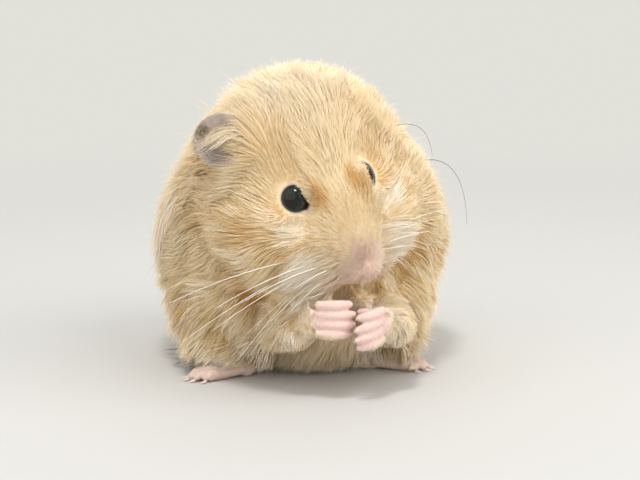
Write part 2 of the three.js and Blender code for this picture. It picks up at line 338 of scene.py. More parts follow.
def depthAt(points):
    fromNose = noseDistance(points)
    body = coat["bodyDepth"]
    crown, muzzle = coat["crownDepth"], coat["muzzleDepth"]
    onHead = muzzle + (crown - muzzle) * ramp(fromNose, *coat["headDeepens"])
    depth = onHead + (body - onHead) * ramp(fromNose, *coat["bodyDeepens"])
    depth = depth * (1 - coat["lessOnBridge"] * topShare(points, bridge))
    nearby = [
        # how far from it, the coat's depth there, how much deeper with each millimetre
        (np.abs(eyeDistance(points)), 0.35, 0.34),
        (fromNose - 2.0, 0.05, 0.16),
        (distanceToNodes(points, pawNodes) - 5.0, 0.25, 0.22),
        (distanceToBoth(points, footLine) - 3.0, 0.3, 0.55),
        (distanceToBoth(points, armLine) - 5.0, 1.6, 0.45),
        (distanceToNodes(points, ["tail"]) - 5.0, 0.3, 0.8),
        (distanceToNodes(points, earNodes) - 6.0, 0.8, 0.5),
    ]
    for distance, least, slope in nearby:
        depth = np.minimum(depth, least + slope * np.maximum(distance, 0))
    return depth


# each eye looks out of a socket, along its own axis
eyeAxes = {side: unit(fromHead(0.62 * s, -0.46, 0.64) - browAt) for side, s in sides.items()}
browTurn = -1.1  # of the side towards the brow, round the eye from its inner corner
lid = {
    "open": 47,  # degrees from the eye's axis to its rim
    # how much further, at which turn, over how wide a stretch: the inner corner, beside it, above, below
    "bends": [(25, -0.35, 0.42), (-4, browTurn, 0.4), (11, -2.5, 0.8), (-9, 1.5, 0.9)],
    # its section: degrees past the rim and millimetres over the eye
    "section": [(0, -0.4), (0, 0.1), (4, 0.26), (11, 0.42), (20, 0.75), (29, 1.25), (37, 1.7), (42, 1.2),
                (42, -0.4)],
}
socket = {
    "slope": 0.4,
    "browSlope": 1.6,
    "browWide": 0.8,
    "inset": 0.6,  # of the skin behind the eye's opening
    "fades": (0.5, 2.6),  # past the opening
    "widest": 6,
    "highest": 8,  # over the eye's middle, where the eye's own skin ends
}
fillet = {"rounds": 90, "past": (0.25, 0.7), "spread": (5, 7), "height": (-5, -3)}


def eyeSides(side):
    # across an eye's axis: towards the inner corner, and from there on towards the lower lid
    axis = eyeAxes[side]
    inner = unit(noseAt - eyeAt[side] - dot(noseAt - eyeAt[side], axis) * axis)
    return inner, np.cross(axis, inner) * sides[side]


def aroundEye(side, turn, away, radius):
    # a place over the eye: its turn from the inner corner, degrees away from the axis, and radius
    inner, lower = eyeSides(side)
    away = np.radians(away)[:, None]
    outward = np.cos(turn)[:, None] * inner + np.sin(turn)[:, None] * lower
    return eyeAt[side] + radius * (np.cos(away) * eyeAxes[side] + np.sin(away) * outward)


def lidEdge(turn):
    edge = np.full(turn.shape, float(lid["open"]))
    for more, at, wide in lid["bends"]:
        apart = (turn - at + math.pi) % (2 * math.pi) - math.pi
        edge += more * np.exp(-((apart / wide) ** 2))
    return edge


def lidShape(side, around=56):
    # a band round the eye, from its rim down to the face
    turn = np.linspace(-math.pi, math.pi, around, endpoint=False)
    rings = [aroundEye(side, turn, lidEdge(turn) + away, eyeRadius + rise) for away, rise in lid["section"]]
    return np.concatenate(rings), halved(closedRings(len(rings), around))


def overEye(side, points):
    # how high each point is along an eye's axis, how far from the axis, its turn and the rim's edge there
    inner, lower = eyeSides(side)
    apart = points - eyeAt[side]
    height = apart @ eyeAxes[side]
    turn = np.arctan2(apart @ lower, apart @ inner)
    spread = np.linalg.norm(apart - height[..., None] * eyeAxes[side], axis=-1)
    return height, spread, turn, np.radians(lidEdge(turn))


def socketed(points):
    # skin that stands in front of an eye's opening is pressed back around it, least under the brow
    for side, axis in eyeAxes.items():
        height, spread, turn, edge = overEye(side, points)
        opening = eyeRadius * np.sin(edge)
        rim = eyeRadius * np.cos(edge)
        byBrow = np.exp(-(((turn - browTurn) / socket["browWide"]) ** 2))
        slope = socket["slope"] + (socket["browSlope"] - socket["slope"]) * byBrow
        top = np.where(spread < opening, rim - socket["inset"], rim + slope * (spread - opening))
        near = 1 - ramp(spread, opening + socket["fades"][0], opening + socket["fades"][1])
        inside = (height > -1) * (spread < socket["widest"]) * (height < socket["highest"])
        press = np.maximum(height - top, 0) * near * inside
        points = points - press[:, None] * axis
    return points


def filleted(points, faces):
    # fills the folds where the lids meet the face
    normals = normalsOf(points, faces)
    rise = np.maximum(dot(relaxed(points, faces, fillet["rounds"]) - points, normals), 0)
    for side in sides:
        height, spread, _, edge = overEye(side, points)
        past = spread - eyeRadius * np.sin(edge)
        share = ramp(past, *fillet["past"]) * (1 - ramp(spread, *fillet["spread"]))
        share = share * ramp(height, *fillet["height"]) * (height < socket["highest"])
        points = points + (share * rise)[:, None] * normals
    return points


def sunk(points, faces, extra, rounds=8):
    for _ in range(rounds):
        inwards = -normalsOf(points, faces) * (depthAt(points) + extra)[:, None] / rounds
        points = relaxed(points + inwards, faces, 1, 0.3)
    return points


def withoutCreases(points, faces):
    # fills the hollows between the rounds of the body, away from the face and the limbs
    filled = coat["filled"]
    share = ramp(noseDistance(points), *filled["nose"]) * ramp(points[:, 2], *filled["floor"])
    share = share * ramp(distanceToBoth(points, armLine), *filled["limbs"])
    for most in coat["mostFilled"]:
        normals = normalsOf(points, faces)
        rise = dot(relaxed(points, faces, coat["smoothRounds"]) - points, normals)
        points = points + (np.clip(rise, 0, most) * share)[:, None] * normals
    return points


# paws: thick fingers that lie over each other, and long flat hind feet with five toes
paw = {
    "palmInset": vec(3.2, 0.7, -0.4),  # of the palm's middle from the outer side of the paw's box
    "palmSize": vec(2.3, 1.7, 3.2),
    "fingerRadii": [0.95, 1.12, 1.12, 1.02, 0.8],
    "knuckle": (1.3, -0.7),  # outwards and forwards from the palm's middle
    "pitch": 1.9,
    "archAt": 0.55,
    "arch": 1.9,
    "clawShown": 0.45,
    "thumb": [(0.5, 0, 2.0), (1.8, 0.1, 2.8), (3, 0.2, 2.6)],  # inwards, back and up from the palm's middle
    "thumbRadii": [0.95, 0.9, 0.85, 0.8, 0.65],
    "wrist": (2, -6, 1.5),  # inwards, forwards and up from the foreleg's middle
    "wristRadii": (3.4, 2.2),
}
foot = {
    "soleRadii": (2.0, 3.0),
    "soleFlat": 0.62,
    "heelRadii": [2.2, 2.4, 2.8],
    "toeRadii": [1.25, 1.15, 1.0, 0.98, 0.72],
    "toeWidth": 0.92,
    "toeRise": 1.1,
    "knuckle": 5.0,  # from the tips of the toes back to where they part
    "spread": 2.2,
    "curve": 0.6,  # of the outer toes' knuckles backwards
    "clawShown": 1.1,
}


def ballShape(centre, radii):
    ball = bmesh.new()
    bmesh.ops.create_icosphere(ball, subdivisions=4, radius=1)
    points = np.array([v.co for v in ball.verts]) * radii + centre
    faces = np.array([[v.index for v in f.verts] for f in ball.faces])
    ball.free()
    return points, faces


def tipOf(claw, root, shown):
    # a digit ends just behind its claw
    at = centreOf(claw)
    return at - unit(at - root) * shown


def digitRadii(radii, count=9):
    return np.interp(np.linspace(0, 1, count), np.linspace(0, 1, len(radii)), radii)


def pawShapes(side):
    s = sides[side]
    low, high = boxOf("forepaw_" + side)
    outer = high[0] if s > 0 else low[0]
    inset = paw["palmInset"]
    palm = vec(outer - s * inset[0], (low[1] + high[1]) / 2 + inset[1], (low[2] + high[2]) / 2 + inset[2])
    shapes = [ballShape(palm, paw["palmSize"])]
    for i in range(4):
        level = 1.5 - i
        out, forwards = paw["knuckle"]
        knuckle = palm + vec(s * out, forwards, level * paw["pitch"])
        tip = tipOf(f"finger_claw_{side}_{i + 1}", knuckle, paw["clawShown"])
        bend = knuckle + (tip - knuckle) * paw["archAt"] + vec(0, -paw["arch"], 0)
        shapes.append(tubeShape(curveThrough(knuckle, bend, tip, 9), digitRadii(paw["fingerRadii"])))
    thumb = [palm + vec(-s * inwards, back, up) for inwards, back, up in paw["thumb"]]
    shapes.append(tubeShape(curveThrough(*thumb, len(paw["thumbRadii"])), paw["thumbRadii"]))
    inwards, forwards, up = paw["wrist"]
    wrist = centreOf("foreleg_" + side) + vec(-s * inwards, forwards, up)
    shapes.append(tubeShape(np.linspace(wrist, palm, 6), np.linspace(*paw["wristRadii"], 6)))
    return shapes


def footShapes(side):
    line = footLine(side)
    heading = unit(line[-1] - line[0])
    across = np.cross(vec(0, 0, 1), heading)
    heel = line[0]
    ball = line[-1] - heading * foot["knuckle"] + vec(0, 0, 0.4)
    sole = np.linspace(heel + vec(0, 0, 0.8), ball, 8)
    ankle = [heel + vec(0, 0, 1), heel + vec(0, 0, 3), heel + heading * 2 + vec(0, 0, 6)]
    shapes = [
        tubeShape(sole, np.linspace(*foot["soleRadii"], 8), flat=foot["soleFlat"]),
        tubeShape(ankle, foot["heelRadii"]),
    ]
    outwards = 1 if dot(across, centreOf(f"toe_claw_{side}_5") - ball) > 0 else -1
    for i in range(5):
        tip = tipOf(f"toe_claw_{side}_{i + 1}", ball, foot["clawShown"])
        fan = (i - 2) / 2 * outwards
        knuckle = ball + across * fan * foot["spread"] - heading * foot["curve"] * fan * fan + vec(0, 0, 0.1)
        bend = (knuckle + tip) / 2 + vec(0, 0, foot["toeRise"])
        toe = curveThrough(knuckle, bend, tip + vec(0, 0, 0.25), 9)
        shapes.append(tubeShape(toe, digitRadii(foot["toeRadii"]) * foot["toeWidth"]))
    return shapes


def makeSkin():
    # the flesh as one solid, sunk by the coat's depth, with its bare parts added
    solid = furredNodes + armNodes + footNodes + ["tail", "nose", "eye_left", "eye_right"]
    points, faces = revoxelled(*joined([nodeShape(n, coat["closeGaps"]) for n in solid]), coat["coarseVoxel"])
    points = points + coat["fillPockets"] * normalsOf(points, faces)
    points, faces = revoxelled(points, halved(faces), coat["coarseVoxel"])
    points = withoutCreases(sunk(points, faces, coat["closeGaps"] + coat["fillPockets"]), faces)
    points = socketed(points)
    bare = [nodeShape(n) for n in earNodes + ["tail", "nose"]]
    for side in sides:
        bare += pawShapes(side) + footShapes(side) + [lidShape(side)]
    points, faces = revoxelled(*joined([(points, halved(faces))] + bare), coat["fineVoxel"])
    points = filleted(relaxed(points, faces, 3), faces)
    points[:, 2] = np.maximum(points[:, 2], 0)
    return points, faces


# from the nose's middle, in the head's axes
nostril = {"at": (1.15, -1.75, -0.35), "radius": 0.62, "depth": 0.9}
cleft = {"halfWidth": 0.32, "depth": 0.45}


def withNostrils(points):
    place = toHead(points) - toHead(noseAt[None])
    near = np.linalg.norm(place, axis=1) < 5
    mirrored = np.abs(place[:, 0])
    hole = np.stack([mirrored, place[:, 1], place[:, 2]], 1) - vec(*nostril["at"])
    away = np.linalg.norm(hole * vec(1, 0.5, 1.3), axis=1) / nostril["radius"]
    dent = nostril["depth"] * np.exp(-(away**2))
    below = ramp(-place[:, 2], 0.2, 1.2) * ramp(-place[:, 1], -1.5, 0)
    dent += cleft["depth"] * below * np.exp(-((mirrored / cleft["halfWidth"]) ** 2))
    return points + (dent * near)[:, None] * headAxes[1]


# the coat grows from the fine skin; the piece keeps fewer faces
skinPoints, skinQuads = makeSkin()
skinPoints = withNostrils(skinPoints)
shown = changed(skinPoints, halved(skinQuads), "DECIMATE", ratio=coat["shownShare"])
shownPoints, shownFaces = shapeOf(shown, 3)
skinPiece = objectOf("skin", smoothed(meshOf("skin", shownPoints * mm, shownFaces)))
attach(skinPiece, "root")
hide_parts(*furredNodes, *armNodes, *pawNodes, *footNodes, *earNodes, "tail", "nose")
print("skin", len(skinPoints), "points,", len(shownFaces), "faces shown")


# markings: three shares (warm, pale, pink) at any place, the same for the coat and the skin; the warm share
# under the lower cheeks is partly painted shade
patches = [
    # share, middle in the head's axes (the same on both sides), half sizes, strength
    ("warm", (3.9, -4.0, 2.0), (2.5, 4.8, 3.6), 1.0),
    # the lower cheek: golden fur, made darker still as painted shade under the cheek
    ("warm", (13.5, -3.5, -18.0), (9.0, 9.0, 9.0), 0.75),
    ("warm", (16.0, 9.0, -6.0), (6.0, 7.0, 9.0), 0.4),
    ("pale", (8.0, -12.0, -6.8), (5.0, 5.0, 4.6), 0.8),
    ("pale", (9.5, -4.6, -2.6), (4.5, 4.0, 3.0), 0.85),
    ("pale", (0.0, -1.0, -22.0), (9.0, 9.0, 9.0), 0.6),
    ("pale", (0.0, 17.0, 14.0), (15.0, 12.0, 12.0), 0.75),
]


def marksAt(points):
    place = toHalfHead(points)
    shares = {"warm": np.zeros(len(points)), "pale": np.zeros(len(points))}
    for share, middle, sizes, strength in patches:
        away = np.linalg.norm((place - vec(*middle)) / vec(*sizes), axis=1)
        shares[share] = np.maximum(shares[share], strength * (1 - ramp(away, 0.35, 1.15)))
    belly = 1 - ramp(points[:, 2] + 0.35 * points[:, 1], -8, 12)
    arms = 1 - ramp(distanceToNodes(points, pawNodes), 5, 11)
    shares["pale"] = np.maximum.reduce([shares["pale"], 0.8 * belly, 0.9 * arms])
    patchy = waves(points, 7.0, 11)
    shares["warm"] = np.clip(shares["warm"] + 0.16 * patchy * (1 - shares["pale"]), 0, 1)
    fromNose = np.linalg.norm((place - toHead(noseAt[None])) / vec(0.8, 1.35, 1), axis=1)
    pink = 1 - ramp(fromNose + 0.5 * waves(points, 1.6, 12), 2.8, 7.4)
    return np.stack([shares["warm"] * (1 - pink), shares["pale"] * (1 - pink), pink], 1)


def giveAttribute(mesh, key, values):
    kind = "FLOAT" if values.ndim == 1 else "FLOAT_VECTOR"
    given = mesh.attributes.new(key, kind, "POINT")
    given.data.foreach_set("value" if values.ndim == 1 else "vector", values.ravel().astype(np.float32))


# finishes
colours = {
    "root": (0.55, 0.33, 0.135),  # of a tuft, from its root to its tip
    "middle": (0.83, 0.555, 0.245),
    "tip": (0.985, 0.83, 0.56),
    "warmTint": (0.72, 0.48, 0.21),
    "pale": (0.96, 0.86, 0.71),
    "pink": (0.86, 0.53, 0.44),
    "paw": (0.79, 0.55, 0.505),
    "foot": (0.66, 0.49, 0.41),
    "ear": (0.58, 0.52, 0.53),
    "earMottle": (0.33, 0.25, 0.22),
    "earShade": (0.07, 0.06, 0.03),
    "aroundEye": (0.50, 0.41, 0.37),
    "lid": (0.035, 0.028, 0.026),
    "claw": (0.90, 0.74, 0.66),
    "whisker": (0.93, 0.90, 0.82),
    "darkHair": (0.10, 0.075, 0.055),
}


def node(tree, kind, **settings):
    made = tree.nodes.new(kind)
    for key, value in settings.items():
        setattr(made, key, value)
    return made


def plug(tree, value, socket):
    # a socket takes either a link or a plain value
    if isinstance(value, bpy.types.NodeSocket):
        tree.links.new(value, socket)
    else:
        socket.default_value = (*value, 1) if isinstance(value, tuple) else value


def mixed(tree, share, a, b, blend="MIX"):
    made = node(tree, "ShaderNodeMix", data_type="RGBA", blend_type=blend)
    colourIn = [socket for socket in made.inputs if socket.type == "RGBA"]
    for value, socket in ((share, made.inputs[0]), (a, colourIn[0]), (b, colourIn[1])):
        plug(tree, value, socket)
    return [socket for socket in made.outputs if socket.type == "RGBA"][0]


def calculated(tree, operation, *values):
    made = node(tree, "ShaderNodeMath", operation=operation)
    for value, socket in zip(values, made.inputs):
        plug(tree, value, socket)
    return made.outputs[0]


def attribute(tree, key, output="Fac"):
    return node(tree, "ShaderNodeAttribute", attribute_name=key).outputs[output]


def material(name, colour, roughness):
    made = bpy.data.materials.new(name)
    made.use_nodes = True
    shader = made.node_tree.nodes["Principled BSDF"]
    shader.inputs["Roughness"].default_value = roughness
    plug(made.node_tree, colour, shader.inputs["Base Color"])
    return made, made.node_tree, shader


def coloured(tree, fac, stops):
    made = node(tree, "ShaderNodeValToRGB")
    ends = made.color_ramp.elements
    while len(ends) < len(stops):
        ends.new(0.5)
    for element, (at, colour) in zip(ends, stops):
        element.position, element.color = at, (*colour, 1)
    plug(tree, fac, made.inputs["Fac"])
    return made.outputs["Color"]


def bumped(tree, shader, height, distance, strength=0.6):
    bump = node(tree, "ShaderNodeBump")
    bump.inputs["Strength"].default_value = strength
    bump.inputs["Distance"].default_value = distance * mm
    plug(tree, height, bump.inputs["Height"])
    plug(tree, bump.outputs["Normal"], shader.inputs["Normal"])


def grain(tree, size, detail=3.0):
    # fine noise whose grains are about this many millimetres across
    texture = node(tree, "ShaderNodeTexNoise")
    texture.inputs["Scale"].default_value = 1 / (size * mm)
    texture.inputs["Detail"].default_value = detail
    plug(tree, node(tree, "ShaderNodeTexCoord").outputs["Object"], texture.inputs["Vector"])
    return texture.outputs["Fac"]


def makeMarkings():
    # the colour of hair: its marks, how far along the hair, and its own shade
    tree = bpy.data.node_groups.new("coatMarkings", "ShaderNodeTree")
    for name, kind in (("Marks", "Vector"), ("Along", "Float"), ("Shade", "Float")):
        tree.interface.new_socket(name, in_out="INPUT", socket_type="NodeSocket" + kind)
    tree.interface.new_socket("Colour", in_out="OUTPUT", socket_type="NodeSocketColor")
    given = tree.nodes.new("NodeGroupInput").outputs
    marks = node(tree, "ShaderNodeSeparateXYZ")
    plug(tree, given["Marks"], marks.inputs[0])
    stops = [(0.0, colours["root"]), (0.38, colours["middle"]), (0.95, colours["tip"])]
    colour = coloured(tree, given["Along"], stops)
    warmShare = calculated(tree, "MULTIPLY_ADD", given["Along"], -0.35, 1.15)
    warmShare = calculated(tree, "MULTIPLY", marks.outputs[0], warmShare)
    colour = mixed(tree, warmShare, colour, mixed(tree, 1.0, colour, colours["warmTint"], "MULTIPLY"))
    paleShare = calculated(tree, "MULTIPLY_ADD", given["Along"], 0.45, 0.4)
    paleShare = calculated(tree, "MULTIPLY", marks.outputs[1], paleShare)
    colour = mixed(tree, paleShare, colour, colours["pale"])
    pinkShare = calculated(tree, "MULTIPLY", marks.outputs[2], 0.85)
    colour = mixed(tree, pinkShare, colour, colours["pink"])
    tone = node(tree, "ShaderNodeHueSaturation")
    plug(tree, calculated(tree, "MULTIPLY_ADD", given["Shade"], -0.06, 1.0), tone.inputs["Saturation"])
    plug(tree, calculated(tree, "MULTIPLY_ADD", given["Shade"], 0.09, 1.0), tone.inputs["Value"])
    plug(tree, colour, tone.inputs["Color"])
    out = tree.nodes.new("NodeGroupOutput")
    plug(tree, tone.outputs["Color"], out.inputs["Colour"])
    return tree


markings = makeMarkings()


def hairColour(tree, along):
    group = node(tree, "ShaderNodeGroup", node_tree=markings)
    plug(tree, attribute(tree, "marks", "Vector"), group.inputs["Marks"])
    plug(tree, along, group.inputs["Along"])
    plug(tree, attribute(tree, "shade"), group.inputs["Shade"])
    return group.outputs["Colour"]


def makeCoat(name, roughness, brighter=0.0):
    made, tree, shader = material(name, colours["tip"], roughness)
    colour = hairColour(tree, attribute(tree, "along"))
    if brighter:
        colour = mixed(tree, brighter, colour, colours["pale"])
    plug(tree, colour, shader.inputs["Base Color"])
    shader.inputs["Specular IOR Level"].default_value = 0.3
    return made


def makeSkinFinish():
    made, tree, shader = material("skin", colours["middle"], 0.62)
    bare = node(tree, "ShaderNodeSeparateXYZ")
    plug(tree, attribute(tree, "bare", "Vector"), bare.inputs[0])
    mottle = grain(tree, 1.3)
    light = attribute(tree, "along")
    pink = mixed(tree, calculated(tree, "MULTIPLY", mottle, 0.5), colours["paw"], colours["pink"])
    pink = mixed(tree, light, colours["foot"], pink)
    ear = mixed(tree, light, colours["earShade"], mixed(tree, mottle, colours["earMottle"], colours["ear"]))
    colour = mixed(tree, bare.outputs[0], hairColour(tree, light), pink)
    colour = mixed(tree, bare.outputs[1], colour, ear)
    lid, around = colours["lid"], colours["aroundEye"]
    stops = [(0.0, lid), (0.1, lid), (0.22, around), (1.0, colours["pale"])]
    colour = mixed(tree, bare.outputs[2], colour, coloured(tree, attribute(tree, "rim"), stops))
    plug(tree, colour, shader.inputs["Base Color"])
    bumped(tree, shader, grain(tree, 0.35, 5.0), 0.12)
    return made


def makeEye():
    made, tree, shader = material("eye", colours["lid"], 0.05)
    # the lighter ring at the iris's edge is partly the iris's own tone and partly a painted reflection
    stops = [(0.0, (0.004, 0.005, 0.003)), (0.26, (0.005, 0.008, 0.004)), (0.38, (0.012, 0.018, 0.011)),
             (0.47, (0.030, 0.037, 0.027)), (0.56, (0.008, 0.008, 0.007))]
    plug(tree, coloured(tree, attribute(tree, "along"), stops), shader.inputs["Base Color"])
    shader.inputs["IOR"].default_value = 1.38
    return made


def makePlain(name, colour, roughness, size):
    # one colour, a little mottled, with a fine grain
    made, tree, shader = material(name, colour, roughness)
    mottle = grain(tree, size)
    darker = tuple(0.72 * c for c in colour)
    plug(tree, mixed(tree, mottle, darker, colour), shader.inputs["Base Color"])
    bumped(tree, shader, mottle, 0.02)
    return made


coatMaterial = makeCoat("coat", 0.62)
guardMaterial = makeCoat("guard_hair", 0.5, brighter=0.35)
skinMaterial = makeSkinFinish()
eyeMaterial = makeEye()
lidMaterial = makePlain("eyelid", colours["lid"], 0.35, 0.3)
clawMaterial = makePlain("claw", colours["claw"], 0.35, 0.5)
whiskerMaterial = makePlain("whisker", colours["whisker"], 0.4, 0.8)
darkHairMaterial = makePlain("dark_hair", colours["darkHair"], 0.5, 0.8)


# where the coat grows, how it lies and how long it is
def handLine(side):
    # along the fingers to their tips
    tips = np.mean([centreOf(f"finger_claw_{side}_{i}") for i in (1, 2, 3, 4)], axis=0)
    palm = centreOf("forepaw_" + side)
    return np.linspace(palm, tips, 5)


def surfaceOf(nodes):
    points, faces = joined([nodeShape(n) for n in nodes])
    return BVHTree.FromPolygons(points.tolist(), faces.tolist())


earSurface = surfaceOf(earNodes)
skinNormals = normalsOf(relaxed(skinPoints, skinQuads, 6), skinQuads)
farAway = 9.0  # stands for any greater distance


def earDistance(points):
    # to the ears' own surface, worked out only near them
    distance = np.full(len(points), farAway)
    for i in np.flatnonzero(distanceToNodes(points, earNodes) < 12):
        distance[i] = min(earSurface.find_nearest(points[i])[3], farAway)
    return distance


def rimDistance(points):
    # to the edge of the nearest eye's lids
    turn = np.linspace(-math.pi, math.pi, 40, endpoint=False)
    edges = [aroundEye(side, turn, lidEdge(turn), eyeRadius + 0.1) for side in sides]
    distance = np.full(len(points), farAway)
    near = np.flatnonzero(eyeDistance(points) < 4)
    distance[near] = distanceTo(points[near], np.concatenate(edges))
    return distance


# how far from each the skin is bare, and from where on it is furred
bareWithin = {
    "paws": (3.7, 4.7),
    "feet": (2.9, 4.2),
    "nose": (1.2, 2.0),
    "tail": (3.0, 4.2),
    "ears": (0.5, 1.0),
    "lids": (0.3, 0.85),
}


def bareAt(points):
    # shares of bare skin: paws and nose, ears, rims of the eyes
    distances = {
        "paws": distanceToBoth(points, handLine),
        "feet": distanceToBoth(points, footLine),
        "nose": noseDistance(points),
        "tail": distanceTo(points, tailLine()),
        "ears": earDistance(points),
        "lids": rimDistance(points),
    }
    *pink, ears, lids = [1 - ramp(distances[part], *fades) for part, fades in bareWithin.items()]
    return np.stack([np.maximum.reduce(pink) * (1 - ears), ears, lids], 1)


earSpots = [
    # from the ear's middle in the head's axes, where it ends inside and outside, how dark
    ((4.2, 3.7, 1.0), (2.0, 3.5), 0.95),
    ((3.4, -0.7, -5.2), (2.0, 6.0), 0.6),
]


def besideEars(offset):
    # a place by each ear, given from the ear's middle in the head's axes
    x, y, z = offset
    return [centreOf("ear_" + side) + vec(s * x, y, z) @ headAxes for side, s in sides.items()]


def lightAt(points, bare):
    # on the skin: light paws and darker feet, dark spots on the ears, lighter under an even coat
    light = 0.34 + 0.4 * velvetShare(points)
    light = light * (1 - bare[:, 0]) + bare[:, 0] * ramp(points[:, 2], 6, 9)
    ears = np.ones(len(points))
    for offset, ends, dark in earSpots:
        ears -= dark * (1 - ramp(distanceTo(points, besideEars(offset)), *ends))
    return light * (1 - bare[:, 1]) + bare[:, 1] * np.maximum(ears, 0)


rimWide = 1.6  # of the tinted skin around the eyes
bareShares = bareAt(shownPoints)
giveAttribute(skinPiece.data, "marks", marksAt(shownPoints))
giveAttribute(skinPiece.data, "bare", bareShares)
giveAttribute(skinPiece.data, "shade", waves(shownPoints, 0.8, 13))
giveAttribute(skinPiece.data, "along", lightAt(shownPoints, bareShares))
giveAttribute(skinPiece.data, "rim", np.clip(rimDistance(shownPoints) / rimWide, 0, 1))
skinPiece.data.materials.append(skinMaterial)
print("skin finished")


def flattened(direction, normal):
    return unit(direction - dot(direction, normal)[:, None] * normal)


def turned(direction, normal, angle):
    side = np.cross(normal, direction)
    return np.cos(angle)[:, None] * direction + np.sin(angle)[:, None] * side


lying = {
    "bodyFrom": (28, 50),  # from the nose, where it goes over to the body's way
    "faceDroop": (0.15, 0.45),  # of the upper side, and how much more lower down
    "bodyDroop": 0.9,
    "backwards": 0.4,
    "roundEyes": 1.6,
    "eyeReach": (0.5, 4.5),
    "outerSide": (5.5, 8),  # of an eye, from the head's middle
    "wisps": [(0.26, 6.5, 21), (0.13, 2.6, 22)],  # how far it turns, over what size, seed
    "wispsFrom": (6, 26),
}
standing = {
    # degrees: at the nose, how much more over the face, the body and the nape
    "least": 20,
    "face": (8, 4, 22),
    "body": (3, 26, 42),
    "nape": 15,
    # shares by which it lies closer
    "low": 0.45,
    "velvet": 0.38,
}
bendRadius = 28.0  # of a tuft that lies over, in the body's own curve
mane = {"from": (8, 14), "to": (20, 27), "wide": (14, 20), "longer": 0.4}


def lieAt(points, normals):
    # away from the nose and round the eyes; further back it turns down and backwards
    away = unit(points - noseAt)
    body = ramp(noseDistance(points), *lying["bodyFrom"])
    least, more = lying["faceDroop"]
    face = least + more * ramp(-normals[:, 2], -0.6, 0.1)
    droop = face * (1 - body) + lying["bodyDroop"] * body
    flow = away + droop[:, None] * vec(0, 0, -1) + lying["backwards"] * body[:, None] * vec(0, 1, 0)
    outer = ramp(np.abs(toHead(points)[:, 0]), *lying["outerSide"])
    for eye in eyeAt.values():
        apart = points - eye
        start, end = lying["eyeReach"]
        near = 1 - ramp(np.linalg.norm(apart, axis=1), eyeRadius + start, eyeRadius + end)
        flow = flow + lying["roundEyes"] * (near * outer)[:, None] * unit(apart)
    wisp = sum(angle * waves(points, size, seed) for angle, size, seed in lying["wisps"])
    return turned(flattened(flow, normals), normals, wisp * ramp(noseDistance(points), *lying["wispsFrom"]))


def standAt(points, normals):
    # the angle between a tuft and the skin
    fromNose = noseDistance(points)
    angle = standing["least"]
    for more, start, end in (standing["face"], standing["body"]):
        angle = angle + more * ramp(fromNose, start, end)
    nape = ramp(points[:, 2], 46, 60) * ramp(normals[:, 2], 0.3, 0.9)
    low = 1 - ramp(points[:, 2], 2, 11)
    angle = (angle + standing["nape"] * nape) * (1 - standing["low"] * low)
    return np.radians(angle * (1 - standing["velvet"] * velvetShare(points)))


def maneShare(points):
    # behind the head, where longer tufts lie over the neck
    place = toHead(points)
    behind = ramp(place[:, 1], *mane["from"]) * (1 - ramp(place[:, 1], *mane["to"]))
    return behind * (1 - ramp(np.abs(place[:, 0]), *mane["wide"]))


def lengthAt(points, stand):
    # long enough for the tips to reach the coat's outline
    reach = depthAt(points) / np.sin(stand)
    sag = (reach * np.cos(stand)) ** 2 / (2 * bendRadius) / np.sin(stand)
    return reach + sag


def hairLine(points, normals, lie, stand, length, steps):
    # the middle line of each tuft: it rises, then bends over to lie along the body
    along = np.zeros(len(points))
    height = np.zeros(len(points))
    line = [points - 0.25 * normals]
    for i in range(steps):
        angle = stand * (1.65 - 1.3 * (i + 0.5) / steps)
        along = along + length / steps * np.cos(angle)
        height = height + length / steps * np.sin(angle)
        rise = height - along**2 / (2 * bendRadius)
        line.append(points + along[:, None] * lie + rise[:, None] * normals)
    return np.stack(line, 1)


def leadersOf(roots, each):
    # the nearest of a few leading tufts
    leaders = dice.choice(len(roots), max(len(roots) // each, 1), replace=False)
    tree = KDTree(len(leaders))
    for i, leader in enumerate(leaders):
        tree.insert(roots[leader], i)
    tree.balance()
    return leaders[[tree.find(root)[1] for root in roots]]


def gathered(curves, leaders, pull):
    # tufts lean towards their leader, most at their tips
    share = (np.arange(curves.shape[1]) / (curves.shape[1] - 1)) ** 1.4
    return curves + (curves[leaders] - curves) * share[None, :, None] * pull[:, None, None]


def clearOfEyes(curves, over):
    # true for tufts that reach no further than this over an eye's rim
    clear = np.ones(len(curves), bool)
    for side in sides:
        height, spread, _, edge = overEye(side, curves)
        within = spread < eyeRadius * np.sin(edge) - over
        clear &= ~((height > 0) & within & (height < socket["highest"])).any(1)
    return clear


# an unwrap of the skin's shape, on which each tuft has its own small patch at its root
unwrap = {"voxel": 1.3, "patch": 0.003}


def makeUnwrap():
    mesh = changed(skinPoints, halved(skinQuads), "REMESH", mode="VOXEL", voxel_size=unwrap["voxel"])
    points, quads = shapeOf(mesh, 4)
    triangles = halved(quads)
    thing = objectOf("unwrap", meshOf("unwrap", points, triangles))
    bpy.context.view_layer.objects.active = thing
    thing.select_set(True)
    bpy.ops.object.mode_set(mode="EDIT")
    bpy.ops.mesh.select_all(action="SELECT")
    bpy.ops.uv.smart_project(angle_limit=math.radians(66), island_margin=0.004)
    bpy.ops.object.mode_set(mode="OBJECT")
    flat = np.empty(len(triangles) * 6)
    thing.data.uv_layers.active.data.foreach_get("uv", flat)
    bpy.data.objects.remove(thing)
    tree = BVHTree.FromPolygons(points.tolist(), triangles.tolist())
    return points, triangles, flat.reshape(-1, 3, 2), tree


unwrapPoints, unwrapFaces, unwrapFlat, unwrapTree = makeUnwrap()
print("unwrapped", len(unwrapFaces), "faces")


def patchAt(roots):
    # each root's place on the unwrap
    found = [unwrapTree.find_nearest(root) for root in roots]
    at = np.array([f[0] for f in found])
    face = np.array([f[2] for f in found])
    a, b, c = (unwrapPoints[unwrapFaces[face, i]] for i in range(3))
    whole = np.cross(b - a, c - a)
    size = np.maximum(dot(whole, whole), 1e-12)
    v = dot(np.cross(at - a, c - a), whole) / size
    w = dot(np.cross(b - a, at - a), whole) / size
    share = np.stack([1 - v - w, v, w], 1)[:, :, None]
    return (unwrapFlat[face] * share).sum(1)


